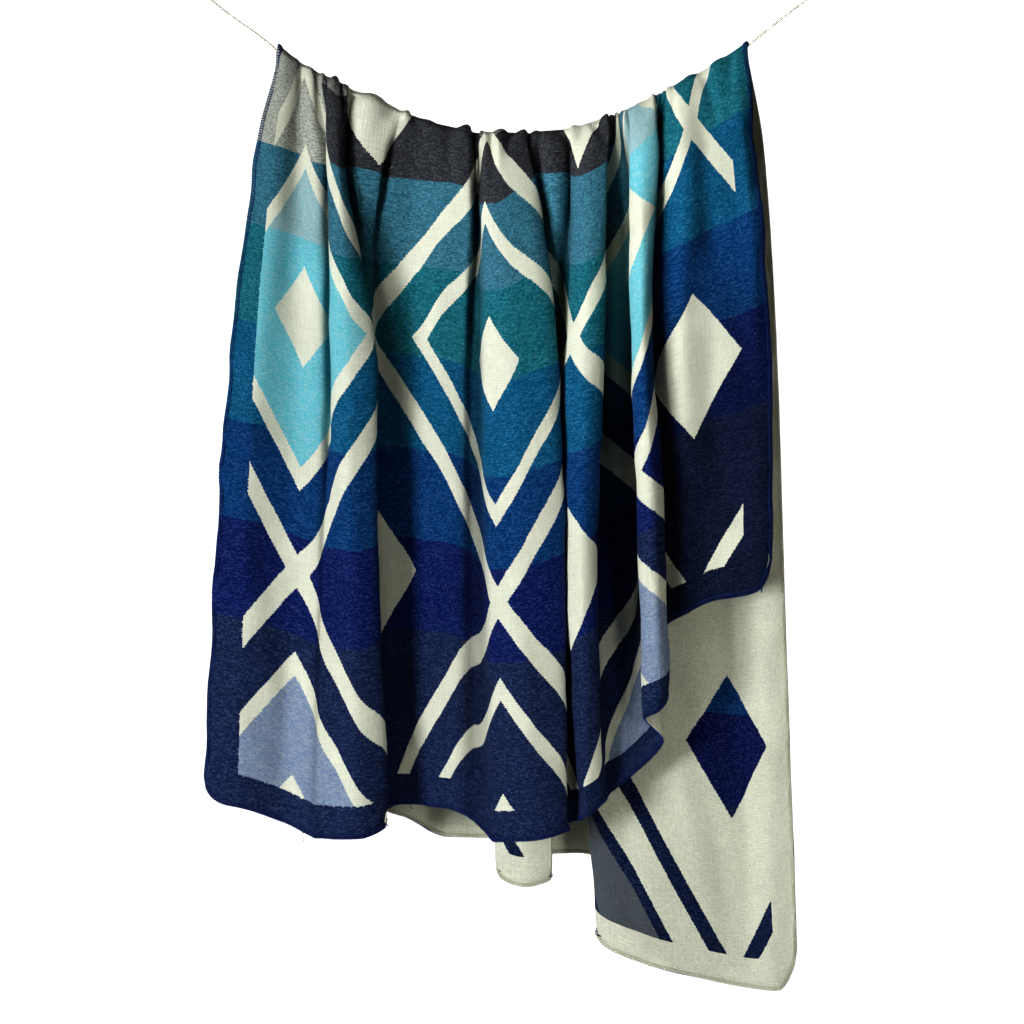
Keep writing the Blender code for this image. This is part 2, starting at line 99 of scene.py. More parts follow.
# Front wing, a row for each fold line of the cloth from its left edge to its right edge:
# name, distance across the flat cloth, x at each level, y at each level, z of the hem
FRONT_FOLDS = (
    ("left edge", 0, (115, 96, 80, 62, 45, 27), (-6, -16, -24, -30, -34, -36), -993),
    ("left panel", 40, (127, 115, 104, 92, 81, 70), (-9, -26, -38, -46, -52, -54), -1000),
    ("left trough", 91, (145, 145, 143, 140, 131, 123), (-6, -15, -26, -34, -42, -46), -1018),
    ("left swell", 124, (160, 165, 168, 169, 165, 157), (-8, -22, -34, -42, -50, -54), -1034),
    ("first tuck, floor", 139, (166, 178, 181, 181, 171, 163), (-6, -12, -18, -27, -48, -54), -1037),
    ("first tuck", 151, (170, 184, 187, 186, 177, 172), (-6, -18, -27, -35, -50, -56), -1037),
    ("first pleat, left", 162, (174, 177, 179, 180, 184, 186), (-9, -25, -34, -41, -54, -60), -1038),
    ("first pleat", 200, (186, 189, 198, 206, 211, 218), (-13, -40, -58, -68, -72, -70), -1037),
    ("first pleat, right", 232, (197, 198, 214, 236, 238, 253), (-10, -30, -44, -54, -58, -54), -1020),
    ("second tuck", 260, (202, 188, 197, 213, 214, 236), (-7, -19, -27, -33, -35, -38), -1010),
    ("second tuck, floor", 275, (208, 198, 204, 213, 218, 240), (-6, -9, -11, -13, -15, -22), -1006),
    ("small pleat", 290, (227, 219, 217, 222, 226, 249), (-12, -22, -21, -12, -9, -16), -1003),
    ("small pleat, right", 305, (252, 241, 230, 229, 235, 257), (-10, -18, -13, -6, -5, -12), -999),
    ("wide trough, left", 318, (264, 238, 230, 238, 246, 266), (-6, -6, -4, -2, -3, -9), -998),
    ("wide trough", 350, (278, 269, 264, 266, 276, 283), (-6, -5, -2, 0, -3, -9), -998),
    ("wide trough, right", 378, (300, 298, 293, 293, 298, 302), (-7, -12, -10, -9, -12, -16), -1001),
    ("low swell, left", 403, (319, 322, 313, 315, 319, 322), (-9, -20, -18, -14, -16, -20), -1003),
    ("low swell, right", 431, (347, 348, 344, 339, 339, 341), (-11, -24, -20, -15, -18, -24), -1010),
    ("slot, left", 444, (353, 353, 351, 349, 350, 353), (-6, -5, -4, -6, -12, -23), -1018),
    ("slot, right", 454, (359, 360, 359, 358, 360, 365), (-6, -5, -6, -9, -17, -32), -1029),
    ("middle pleat, left", 488, (365, 363, 366, 369, 374, 381), (-11, -32, -43, -51, -55, -59), -1041),
    ("middle pleat", 539, (388, 392, 399, 411, 419, 425), (-14, -46, -62, -72, -76, -76), -1039),
    ("middle pleat, right", 592, (417, 433, 448, 457, 463, 465), (-11, -34, -48, -58, -62, -62), -1027),
    ("third tuck", 618, (424, 424, 432, 440, 447, 457), (-7, -21, -30, -36, -42, -50), -1025),
    ("third tuck, floor", 632, (431, 434, 437, 440, 446, 457), (-6, -13, -15, -19, -28, -43), -1023),
    ("short pleat", 649, (444, 452, 452, 447, 453, 466), (-12, -31, -14, -12, -22, -41), -1020),
    ("short pleat, right", 660, (458, 463, 458, 452, 458, 471), (-10, -25, -11, -12, -27, -43), -1018),
    ("crease", 674, (467, 469, 466, 458, 462, 478), (-7, -14, -19, -25, -39, -47), -1016),
    ("slanted pleat, left", 692, (474, 476, 473, 463, 464, 482), (-8, -31, -43, -51, -53, -53), -1015),
    ("slanted pleat", 723, (494, 492, 491, 486, 484, 491), (-12, -44, -62, -72, -74, -64), -1010),
    ("slanted pleat, right", 750, (514, 513, 512, 509, 501, 508), (-10, -36, -50, -60, -60, -56), -995),
    ("slanted pleat, back", 772, (517, 503, 500, 497, 490, 509), (-8, -21, -27, -32, -36, -48), -990),
    ("deep trough, left", 800, (521, 508, 504, 500, 493, 516), (-6, -4, 0, 3, -3, -32), -985),
    ("deep trough, right", 854, (528, 543, 547, 549, 552, 537), (-6, -4, 0, 3, -3, -34), -968),
    ("hem lip", 880, (534, 543, 546, 549, 554, 580), (-8, -18, -24, -26, -26, -43), -922),
    ("narrow pleat, left", 901, (538, 541, 541, 543, 549, 558), (-10, -34, -48, -56, -60, -60), -894),
    ("narrow pleat", 923, (555, 557, 555, 556, 566, 574), (-13, -48, -66, -76, -78, -74), -885),
    ("narrow pleat, right", 945, (570, 575, 569, 567, 580, 588), (-10, -38, -52, -60, -62, -62), -868),
    ("fourth tuck", 970, (573, 566, 558, 557, 568, 586), (-9, -28, -40, -46, -46, -42), -842),
    ("under pleat", 988, (576, 562, 556, 557, 565, 578), (-8, -20, -30, -36, -36, -32), -822),
    ("under pleat, right", 1003, (579, 563, 558, 559, 564, 574), (-7, -14, -20, -26, -28, -26), -806),
    ("fifth tuck", 1020, (581, 565, 561, 561, 565, 576), (-6, -9, -13, -18, -20, -20), -794),
    ("fifth tuck, floor", 1032, (584, 570, 566, 565, 569, 581), (-6, -8, -10, -12, -13, -14), -786),
    ("right panel, lip", 1054, (588, 587, 580, 572, 578, 590), (-10, -28, -34, -30, -22, -20), -778),
    ("right panel, left", 1088, (603, 607, 607, 605, 607, 610), (-13, -36, -44, -46, -44, -38), -767),
    ("right panel", 1130, (628, 636, 641, 644, 646, 646), (-11, -26, -31, -33, -31, -32), -751),
    ("right panel, crease", 1157, (647, 655, 664, 670, 673, 673), (-12, -26, -28, -31, -33, -36), -747),
    ("right panel, right", 1180, (667, 673, 681, 690, 695, 696), (-10, -24, -30, -35, -38, -42), -741),
    ("right edge", 1200, (684, 687, 696, 705, 713, 713), (-6, -14, -20, -27, -34, -38), -733),
)

# Back wing, laid out in the same way. At the line it starts where the front wing ends.
BACK_FOLDS = (
    ("left edge", 0, (104, 92, 75, 68), (12, 24, 34, 40), -974),
    ("first back pleat", 59, (128, 116, 104, 99), (40, 62, 74, 78), -993),
    ("first back trough", 155, (169, 169, 165, 160), (9, 12, 16, 20), -1025),
    ("second back pleat", 243, (206, 203, 203, 206), (44, 68, 80, 84), -1001),
    ("second back trough", 339, (244, 252, 259, 266), (9, 14, 20, 26), -1014),
    ("third back pleat", 427, (286, 293, 307, 319), (46, 70, 74, 70), -1041),
    ("behind the tongue, left", 519, (332, 365, 385, 399), (34, 50, 58, 58), -1044),
    ("tongue, left", 567, (351, 361, 370, 381), (12, 18, 18, 14), -1083),
    ("tongue", 612, (380, 392, 407, 415), (7, 8, 7, 4), -1099),
    ("tongue, right", 655, (409, 426, 440, 448), (12, 16, 16, 12), -1088),
    ("behind the tongue, right", 707, (421, 419, 421, 428), (36, 52, 60, 60), -1064),
    ("recess", 766, (453, 460, 469, 479), (46, 68, 74, 70), -1061),
    ("behind the tail", 843, (496, 513, 528, 542), (34, 46, 50, 50), -1090),
    ("tail, left", 899, (494, 486, 482, 503), (14, 24, 26, 14), -1158),
    ("tail", 967, (537, 540, 544, 557), (12, 18, 14, 4), -1191),
    ("tail, middle", 1051, (593, 603, 615, 629), (8, 14, 14, 12), -1210),
    ("tail, crease", 1121, (636, 656, 676, 687), (12, 24, 28, 22), -1222),
    ("tail, right", 1168, (673, 692, 709, 721), (10, 16, 14, 10), -1225),
    ("right edge", 1200, (703, 719, 731, 746), (9, 14, 14, 12), -1205),
)

# The arch of the cloth over the line: how much higher it stands where it is wider,
# and the distance from its top to where each wing starts to hang
ARCH_RISE = 0.35
ARCH_NARROW = 5 * MM
ARCH_RUN = 11 * MM

# The mesh of the cloth: columns across it, rows from the top of the line down each wing
COLUMN_SPACING = 3.75 * MM
ROWS_NEAR_LINE = (2, 4, 6, 8, 10.5, 13.5, 17, 21, 26, 32)
ROW_COUNT_BELOW = 62
ROW_GROWTH = 1.18

# Small creases, worn or pinched into the cloth by hand: name, then across and along of both
# ends (along is measured from the top of the line, forwards below zero), reach to each side,
# and height, which is below zero for a trough
CREASES = (
    ("pinch, left panel", 92, 6, 88, -46, 10, -2.0),
    ("pinch, left swell", 134, 7, 128, -70, 9, -2.6),
    ("pinch, first pleat", 167, 6, 158, -64, 8, -3.0),
    ("pinch, first pleat right", 216, 9, 226, -40, 7, -3.6),
    ("pinch, second tuck", 278, 7, 270, -34, 7, -3.0),
    ("pinch, small pleat", 308, 9, 300, -42, 8, -3.4),
    ("pinch, wide trough", 352, 6, 362, -26, 8, -2.2),
    ("pinch, low swell", 412, 7, 404, -62, 8, -2.8),
    ("pinch, slot", 437, 8, 442, -30, 6, -2.6),
    ("pinch, middle pleat", 506, 7, 516, -44, 9, -3.2),
    ("pinch, middle pleat right", 560, 6, 550, -28, 9, -2.0),
    ("pinch, third tuck", 600, 11, 606, -60, 8, -3.8),
    ("pinch, short pleat", 652, 8, 676, -32, 7, -3.6),
    ("pinch, slanted pleat", 724, 8, 744, -34, 7, -3.8),
    ("pinch, slanted pleat back", 770, 9, 772, -52, 8, -3.2),
    ("pinch, narrow pleat", 908, 9, 898, -44, 8, -3.2),
    ("pinch, under pleat", 982, 9, 988, -52, 7, -2.4),
    ("pinch, right panel left", 1076, 7, 1066, -34, 10, -2.2),
    ("pinch, right panel", 1134, 9, 1144, -60, 9, -3.2),
    ("pinch, right edge", 1178, 7, 1174, -32, 8, -2.0),
    ("left panel, long swell", 62, -70, 44, -420, 16, 1.6),
    ("left panel, low crease", 30, -560, 74, -760, 15, 1.8),
    ("left trough, low crease", 108, -620, 88, -860, 14, -1.8),
    ("first pleat, side crease", 178, -260, 190, -560, 12, 1.4),
    ("wide trough, crease", 340, -90, 352, -380, 14, 1.5),
    ("wide trough, low crease", 372, -430, 356, -760, 15, 1.6),
    ("low swell, crease", 418, -110, 424, -420, 12, -1.4),
    ("middle pleat, crease", 566, -110, 572, -420, 13, 1.4),
    ("middle pleat, low crease", 520, -520, 536, -780, 16, 1.5),
    ("slanted pleat, crease", 736, -120, 726, -420, 12, 1.4),
    ("narrow pleat, crease", 912, -420, 926, -720, 12, 1.5),
    ("right panel, bend", 1098, -120, 1076, -360, 15, 1.8),
    ("right panel, slanting crease", 1128, -190, 1176, -430, 14, -1.8),
    ("right panel, low crease", 1112, -470, 1150, -640, 15, 1.6),
    ("tail, slanting crease", 1004, 640, 1080, 980, 16, 1.8),
    ("tail, long crease", 1108, 420, 1136, 900, 15, -1.8),
    ("tail, left crease", 936, 700, 960, 1010, 14, 1.6),
    ("back, left crease", 110, 90, 92, 520, 16, 1.8),
    ("back, middle crease", 470, 120, 486, 620, 16, -1.8),
    ("back, right crease", 800, 110, 824, 660, 16, 1.8),
    ("back pinch, left", 180, 10, 186, 62, 9, -2.8),
    ("back pinch, middle", 388, 10, 380, 56, 9, -3.0),
    ("back pinch, middle right", 640, 10, 652, 58, 9, -3.0),
    ("back pinch, right", 860, 10, 850, 64, 9, -2.8),
    ("back pinch, tail", 1040, 10, 1048, 58, 9, -2.6),
)

# How far a crease fades out past its two ends, in times its reach
CREASE_FADE = 1.5

# Puffs of cloth between the pinches on top of the line, each a short slanting ridge over it:
# across, and height
PUFFS = (
    (190, 2.8), (245, 2.2), (294, 3.2), (332, 2.2), (382, 1.8), (424, 3.0), (470, 2.8),
    (532, 2.4), (580, 2.0), (628, 3.0), (690, 2.8), (748, 3.2), (840, 2.4), (945, 2.8),
    (1030, 2.2), (1105, 2.6), (1156, 1.6),
)
PUFF_FRONT, PUFF_BACK, PUFF_SLANT, PUFF_REACH = -13, 16, 7, 11

# Faint unevenness of the whole cloth: how many waves, their lengths, height and seed
RIPPLE_COUNT = 26
RIPPLE_LENGTHS = (34 * MM, 150 * MM)
RIPPLE_HEIGHT = 0.34 * MM
HEM_RIPPLE = 2.6
HEM_REACH = 38 * MM
RIPPLE_SEED = 7

# Painted shade in the front wing's folds: how deep in a fold the colour grows darker, seen from the
# cloth within reach across, and the share of these depths that holds at the line and rises to the whole
# further down
SHADE_REACH = 62 * MM
SHADE_FROM, SHADE_TO = 26 * MM, 74 * MM
SHADE_AT_LINE = 0.35
SHADE_RISE = 210 * MM

# The overlocked edge: thread, pitch of its stitches and the shape of one stitch, given as
# inset from the edge, lift from the cloth's middle, and shift along the edge
STITCH_PITCH = 3.1 * MM
STITCH_RADIUS = 0.52 * MM
STITCH_SIDES = 4
STITCH_UNEVEN = 0.10
STITCH_SHAPE = (
    (4.7, 1.5, 0.9), (2.7, 1.9, 0.5), (0.3, 1.6, 0.1), (-0.7, 0.0, 0.0),
    (0.2, -1.25, -0.1), (2.0, -1.45, -0.4), (3.6, -1.15, -0.7),
)
CHAIN_INSETS = (4.9 * MM, 3.7 * MM)
CHAIN_LIFTS = (1.55 * MM, -1.2 * MM)
CHAIN_SWAY = 0.55 * MM
CHAIN_RADIUS = 0.5 * MM
STITCH_SEED = 11

# Loose ends of the sewing thread at the front hem: across, then a path from the edge in
# shift along it, drop below it and lift forwards
LOOSE_ENDS = (
    (112, ((0, -2, 0), (0.8, 1.5, 1.2), (2.4, 4.5, 2.2), (4.8, 6.8, 2.0), (6.6, 9.8, 1.4))),
    (336, ((0, -2, 0), (-0.6, 1.0, 1.0), (-0.2, 3.4, 1.8), (1.4, 5.2, 1.6), (3.8, 5.6, 1.0))),
)
LOOSE_RADIUS = 0.38 * MM
LOOSE_SIDES = 6
LOOSE_RINGS = 14

# Threads, the steps in which a figure's edge runs, how far such a step wanders, and the
# flecks of single threads
THREAD_PITCH = 2.5 * MM
FIGURE_STEP = 1.3 * MM
EDGE_JAG = 0.25
DASH_LENGTH, DASH_HEIGHT = 3.4 * MM, 1.25 * MM

# The woven pattern: a trellis of lozenges, with smaller ones inside. A cell is as wide and as
# high as this, one has its middle at the start, and every other column of cells has pale
# lozenges. Reach counts from 0 at a cell's centre to 1 on the trellis.
CELL_WIDTH = 0.40
CELL_HEIGHT = 0.60
CELL_START = 0.30
TONE_COLUMN = 0.10
PLAIN_BORDER = 38 * MM
TRELLIS_FROM = 0.935
SOLID_TO = 0.30
RING_BETWEEN = (0.59, 0.685)
CORE_TO = 0.20

# Colours as eight-bit sRGB, each up to this distance from the nearer hem in metres
FACE_BANDS = (
    ("navy", 0.223, (28, 44, 80)),
    ("ultramarine", 0.338, (12, 34, 92)),
    ("cobalt", 0.457, (4, 62, 110)),
    ("petrol", 0.574, (12, 88, 122)),
    ("teal", 0.691, (28, 102, 116)),
    ("steel", 0.801, (60, 110, 128)),
    ("charcoal", 0.885, (56, 58, 64)),
    ("light grey", 0.900, (120, 122, 120)),
)
FACE_TONES = (
    ("periwinkle", 0.338, (112, 130, 160)),
    ("aqua", 0.691, (92, 174, 190)),
    ("pale steel", 0.801, (132, 168, 176)),
    ("silver", 0.900, (128, 130, 127)),
)
REVERSE_TONES = (
    ("slate", 0.338, (88, 94, 98)),
    ("pale petrol", 0.691, (104, 148, 156)),
    ("mid grey", 0.900, (128, 132, 130)),
)
REVERSE_BANDS = (
    ("navy", 0.223, (16, 32, 66)),
    ("ultramarine", 0.338, (4, 22, 74)),
    ("cobalt", 0.457, (4, 54, 98)),
    ("petrol", 0.574, (12, 78, 108)),
    ("teal", 0.691, (26, 92, 104)),
    ("steel", 0.801, (56, 98, 114)),
    ("charcoal", 0.900, (52, 54, 60)),
)

# The grey corner: its colour, how far across it goes, and how far from the hem it starts
CORNER_GREY, CORNER_TO, CORNER_FROM = (156, 160, 152), 0.150, 0.790
CREAM = (203, 206, 191)
REVERSE_CREAM = (196, 199, 184)

# Spun threads: name, colour, roughness, sheen, repeats of the fibres in a metre, and depth
THREADS = (
    ("ivory cord", (250, 244, 230), 0.85, 0.2, 2600.0, 0.25 * MM),
    ("rim thread", (20, 44, 104), 0.85, 0.1, 2200.0, 0.2 * MM),
    ("blue sewing thread", (18, 44, 108), 0.8, 0.1, 2200.0, 0.2 * MM),
    ("straw sewing thread", (190, 188, 166), 0.8, 0.1, 2200.0, 0.2 * MM),
)
FIBRE_SHADE, THREAD_SHADE = 0.5, 0.25
FIBRES_IN_CLOUD = 12

# Surfaces as a whole. The floor glows a little, for the camera alone.
SPECULAR = 0.2
CLOTH_ROUGHNESS, CLOTH_SHEEN = 0.95, 0.02
FLOOR_GREY = (226, 226, 224)
FLOOR_ROUGHNESS = 0.8
FLOOR_CLOUDS, FLOOR_SHADE = 3.0, 0.04
FLOOR_GLOW = 0.30

# The weave: how far threads wander from their place, how deep the cloth's grain is, and its
# shares of the weft's ridges, the warp's ridges and the crossings
THREAD_WANDER = 0.9 * MM
GRAIN_DEPTH = 0.30 * MM
WEFT_RIDGE, WARP_RIDGE, CROSSING = 0.55, 0.35, 0.10
HEATHER_HEIGHT = 0.5

# Fineness of each kind of unevenness, as repeats in a metre. Slubs have fewer along their
# thread than across it.
WANDER_FINENESS = 70.0
HEATHER_FINENESS = 420.0
FLECK_FINENESS, FLECK_BREAK = 380.0, 2.2
SLUB_FINENESS = 620.0
WEFT_SLUBS, WARP_SLUBS = 45.0, 38.0
CLOUD_FINENESS = 14.0

# How much each kind changes the colour. Flecks on cream are for the face and the reverse, and
# pale flecks show where a fleck's value is past the first number.
GRAIN_SHADE = 0.22
FLECK_SHADE = 0.55
PALE_FLECK_FROM, PALE_FLECKS = 0.42, 0.045
TONE_FLECK = 0.24
CREAM_FLECKS = (0.06, 0.16)
HEATHER_SHADE = 0.30
SLUB_SHADE = 0.55
CLOUD_SHADE = 0.14

# Painted shade: how much darker the colour is made deep in a fold, and low on the right panel,
# which starts between the first two distances across and ends between the next two from the front hem
FOLD_PAINTED_SHADE = 0.88
RIGHT_PAINTED_SHADE = 0.50
RIGHT_FROM, RIGHT_TO = 0.94, 1.03
RIGHT_BELOW, RIGHT_ABOVE = 0.26, 0.42

# Light. A lamp's row: name, place, target, size, width of its beam in degrees, power, colour.
WORLD_AMBIENT = 0.03
AREA_LIGHTS = (
    ("key_light", (-1.75, -2.3, -1.15), (0.30, 0.0, -0.75), (0.8, 1.0), 180, 77.0, (1.0, 1.0, 1.0)),
    ("fill_light", (2.6, -2.4, 0.4), (0.40, 0.0, -0.60), (1.6, 1.6), 180, 2.5, (1.0, 0.93, 0.78)),
    ("low_light", (1.9, -2.2, -1.25), (0.66, 0.0, -0.95), (0.5, 0.5), 34, 0.65, (1.0, 0.97, 0.90)),
    ("top_light", (-0.8, -2.2, 0.45), (0.74, 0.0, -0.20), (0.5, 0.5), 28, 1.1, (1.0, 0.98, 0.94)),
    ("back_light", (0.9, 2.8, 0.7), (0.40, 0.0, -0.75), (1.4, 1.2), 180, 60.0, (1.0, 1.0, 1.0)),
)
FLOOR_HEIGHT = -1.45
FLOOR_SIZE = 1.7


def smooth(knots, values, at):
    """Read a smooth curve through the values at the knots, column by column.

    It is a cubic between each two knots, whose slope at a knot is the weighted harmonic
    mean of the slopes on its two sides, or zero where they differ in sign. So the curve
    never swings past its own points, and it turns exactly at the folds' edges.
    """
    knots = np.broadcast_to(knots.reshape(len(knots), -1), values.shape)
    gap = np.diff(knots, axis=0)
    slope = np.diff(values, axis=0) / gap
    before, after = slope[:-1], slope[1:]
    weight_before = 2 * gap[1:] + gap[:-1]
    weight_after = gap[1:] + 2 * gap[:-1]
    alike = before * after > 0
    safe_before = np.where(alike, before, 1.0)
    safe_after = np.where(alike, after, 1.0)
    resistance = weight_before / safe_before + weight_after / safe_after
    mean = (weight_before + weight_after) / resistance
    tangent = np.concatenate([slope[:1], np.where(alike, mean, 0.0), slope[-1:]])
    at = np.broadcast_to(at.reshape(len(at), -1), (len(at), values.shape[1]))
    index = (at[:, None, :] >= knots[None, 1:-1, :]).sum(axis=1)
    pick = lambda table, i: np.take_along_axis(table, i, axis=0)
    width = pick(gap, index)
    share = (at - pick(knots, index)) / width
    return (
        (1 + 2 * share) * (1 - share) ** 2 * pick(values, index)
        + share * (1 - share) ** 2 * width * pick(tangent, index)
        + share ** 2 * (3 - 2 * share) * pick(values, index + 1)
        + share ** 2 * (share - 1) * width * pick(tangent, index + 1)
    )


def line_height(x):
    """Height of the line's axis at each x."""
    route = np.array(LINE_ROUTE, float) * MM
    return smooth(route[:, 0], route[:, 1:], x)[:, 0]


def fold_table(folds):
    """The table's columns as arrays: across, x, y and hem height."""
    across = np.array([row[1] for row in folds]) * MM
    x = np.array([row[2] for row in folds]) * MM
    y = np.array([row[3] for row in folds]) * MM
    hem = np.array([[row[4]] for row in folds]) * MM
    return across, x, y, hem


def column_places():
    """Distances across the cloth of the mesh's columns, evenly many between each two folds."""
    across = fold_table(FRONT_FOLDS)[0]
    parts = [
        np.linspace(start, end, max(3, round((end - start) / COLUMN_SPACING)), endpoint=False)
        for start, end in zip(across[:-1], across[1:])
    ]
    return np.concatenate(parts + [across[-1:]])


def corner_cut(across):
    """How much of each end of a column the rounded corners take away."""
    inward = np.minimum(across, CLOTH_WIDTH - across)
    reach = np.clip(CORNER_RADIUS - inward, 0.0, CORNER_RADIUS)
    return CORNER_RADIUS - np.sqrt(CORNER_RADIUS ** 2 - reach ** 2)


def crease_relief(u, down):
    """Height that the small creases add: each is a line whose cross-section is a rounded
    trough or ridge with a low lip on each side, (1 - q^2) exp(-q^2 / 2) at q reaches from
    it, and it fades out past its two ends in the same way."""
    puffs = [
        (across, PUFF_FRONT, across + PUFF_SLANT, PUFF_BACK, PUFF_REACH, height)
        for across, height in PUFFS
    ]
    rows = np.array([row[1:] for row in CREASES] + puffs) * MM
    start, end, reach, height = rows[:, 0:2], rows[:, 2:4], rows[:, 4], rows[:, 5]
    run = end - start
    length = np.linalg.norm(run, axis=1)
    ahead = run / length[:, None]
    du = u[..., None] - start[:, 0]
    dv = down[..., None] - start[:, 1]
    along = du * ahead[:, 0] + dv * ahead[:, 1]
    aside = (dv * ahead[:, 0] - du * ahead[:, 1]) / reach
    past = (along - np.clip(along, 0.0, length)) / (CREASE_FADE * reach)
    shape = (1.0 - aside ** 2) * np.exp(-aside ** 2 / 2 - past ** 2)
    return (height * shape).sum(axis=-1)


def ripple_relief(u, v):
    """Faint unevenness: a sum of plane waves of seeded direction, length and phase, which
    grows towards the sewn edge, where the cloth is slack."""
    draw = np.random.default_rng(RIPPLE_SEED)
    angle = draw.uniform(0.0, math.pi, RIPPLE_COUNT)
    short, long = RIPPLE_LENGTHS
    wave = short * (long / short) ** draw.uniform(0.0, 1.0, RIPPLE_COUNT)
    phase = draw.uniform(0.0, 2 * math.pi, RIPPLE_COUNT)
    turns = (u[..., None] * np.cos(angle) + v[..., None] * np.sin(angle)) / wave
    relief = (np.sin(2 * math.pi * turns + phase) * wave / long).sum(axis=-1)
    inset = np.minimum(np.minimum(u, CLOTH_WIDTH - u), np.minimum(v, CLOTH_LENGTH - v))
    return RIPPLE_HEIGHT * relief * (1.0 + HEM_RIPPLE * np.exp(-inset / HEM_REACH))


def cloth_grid():
    """The cloth's middle surface and its place on the flat cloth, as grids.

    Rows run from the front hem over the line to the back hem, columns from the left edge to
    the right one. Each fold level is a smooth curve across the cloth, and each column is a
    smooth curve down the front levels, over the arch and down the back levels. The small
    creases and the unevenness then move each point along the surface's normal, but near
    the top of the line no deeper than leaves it clear.
    """
    across = column_places()
    fold, x, y, hem = fold_table(FRONT_FOLDS)
    front_x = smooth(fold, x, across).T
    front_y = smooth(fold, y, across).T
    front_hem = smooth(fold, hem, across)[:, 0]
    fold, x, y, hem = fold_table(BACK_FOLDS)
    back_x = smooth(fold, x, across).T
    back_y = smooth(fold, y, across).T
    back_hem = smooth(fold, hem, across)[:, 0]

    axis = line_height(front_x[0])
    front_drop = axis - front_hem
    back_drop = axis - back_hem
    front_length = CLOTH_LENGTH * front_drop / (front_drop + back_drop)
    back_length = CLOTH_LENGTH - front_length
    half_width = -front_y[0]
    slant = np.hypot(1.0, np.gradient(axis, front_x[0]))
    arch_height = (LINE_DIAMETER / 2 + LINE_CLEARANCE + CLOTH_THICKNESS / 2) * slant
    top = axis + arch_height + ARCH_RISE * (half_width - ARCH_NARROW)

    front_share = np.array(FRONT_LEVELS)[::-1, None]
    back_share = np.array((0.0,) + BACK_LEVELS)[:, None]
    knots = np.concatenate([
        -(ARCH_RUN + front_share * (front_length - ARCH_RUN)),
        np.zeros((1, len(across))),
        ARCH_RUN + back_share * (back_length - ARCH_RUN),
    ])
    x = np.concatenate([front_x[::-1], front_x[:1], front_x[:1], back_x])
    y = np.concatenate([front_y[::-1], np.zeros((1, len(across))), half_width[None], back_y])
    z = np.concatenate([
        axis - front_share * front_drop, top[None], axis - back_share * back_drop,
    ])

    cut = corner_cut(across)
    near = np.array(ROWS_NEAR_LINE)[:, None] * MM
    below = (np.linspace(0.0, 1.0, ROW_COUNT_BELOW + 1)[1:, None]) ** ROW_GROWTH
    down_front = near[-1] + below * (front_length - cut - near[-1])
    down_back = near[-1] + below * (back_length - cut - near[-1])
    wide = np.ones((1, len(across)))
    down = np.concatenate([
        -down_front[::-1], -near[::-1] * wide, 0 * wide, near * wide, down_back,
    ])
    middle = np.stack([smooth(knots, part, down) for part in (x, y, z)], axis=2)
    u = np.broadcast_to(across, down.shape)
    v = down + front_length
    relief = crease_relief(u, down) + ripple_relief(u, v)
    relief = np.maximum(relief, -CREASE_SHALLOW - CREASE_DEEPENING * np.abs(down))
    return middle + surface_normal(middle) * relief[..., None], u, v


def fold_shade(grid, u, v):
    """How deep each point lies in a fold of the front wing, from 0 to 1: its distance behind
    the foremost cloth within reach across, counted smoothly between two depths, which are
    smaller near the line. It sets the painted shade of the face deep in its folds."""
    y = grid[..., 1]
    near = np.abs(u[0][:, None] - u[0]) < SHADE_REACH
    foremost = np.stack([y[:, columns].min(axis=1) for columns in near], axis=1)
    top = np.argmax(grid[..., 2].mean(axis=1))
    down = grid[top, :, 2] - grid[..., 2]
    scale = np.clip(SHADE_AT_LINE + (1.0 - SHADE_AT_LINE) * down / SHADE_RISE, SHADE_AT_LINE, 1.0)
    share = ((y - foremost) / scale - SHADE_FROM) / (SHADE_TO - SHADE_FROM)
    share = np.clip(share, 0.0, 1.0)
    share[top:] = 0.0
    return share * share * (3.0 - 2.0 * share)


def surface_normal(grid):
    """Unit normals of a grid: towards the outside of the front wing."""
    normal = np.cross(np.gradient(grid, axis=1), np.gradient(grid, axis=0))
    return normal / np.linalg.norm(normal, axis=2, keepdims=True)


def rim_of(grid):
    """A grid's outermost entries in order: front hem, right edge, back hem, left edge."""
    return np.concatenate([grid[0, :-1], grid[:-1, -1], grid[-1, :0:-1], grid[:0:-1, 0]])


def mesh_piece(name, points, faces, materials, places=None, uv=None, shade=None):
    """A smooth mesh object; places gives each face's material, uv each point's place, and
    shade how deep it lies in a fold."""
    mesh = bpy.data.meshes.new(name)
    mesh.from_pydata(points.tolist(), [], faces.tolist())
    for material in materials:
        mesh.materials.append(material)
    if places is not None:
        mesh.polygons.foreach_set("material_index", places)
    if uv is not None:
        corner = np.empty(len(mesh.loops), np.int32)
        mesh.loops.foreach_get("vertex_index", corner)
        layer = mesh.uv_layers.new(name="cloth_place")
        layer.data.foreach_set("uv", uv[corner].ravel())
    if shade is not None:
        mesh.attributes.new("fold_shade", "FLOAT", "POINT").data.foreach_set("value", shade)
    mesh.shade_smooth()
    piece = bpy.data.objects.new(name, mesh)
    bpy.context.collection.objects.link(piece)
    return piece


